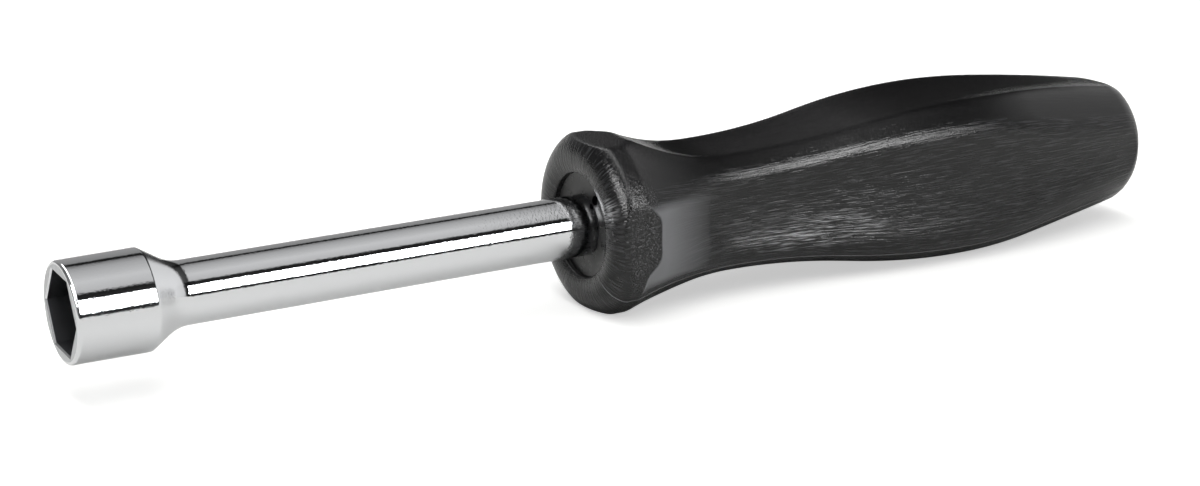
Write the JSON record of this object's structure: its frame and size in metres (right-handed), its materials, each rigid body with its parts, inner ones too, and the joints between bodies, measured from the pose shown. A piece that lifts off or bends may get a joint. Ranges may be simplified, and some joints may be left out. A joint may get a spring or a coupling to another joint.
{
  "type": "nut driver",
  "caption": "Hand nut driver: chromed hollow shank with a hexagon socket, moulded into a waisted black handle with flats, a collar and a domed butt.",
  "frame": {"origin": "centre of the socket's mouth, on the drive axis", "axes": "+X along the drive axis from the socket's mouth to the butt, +Z square to the handle's top flat, Y across it"},
  "size_m": [0.2056, 0.029, 0.029],
  "materials": {
    "chromed_steel": "bright chrome plate on forged alloy steel",
    "plain_steel": "turned mild steel, uncoated",
    "core_plastic": "smooth moulded black plastic",
    "handle_plastic": "satin moulded black plastic with a fine lengthwise grain"
  },
  "bodies": {
    "root": {"drive_shaft": "chromed_steel", "bore_plug": "plain_steel", "handle_core": "core_plastic", "handle": "handle_plastic"}
  },
  "joints": []
}
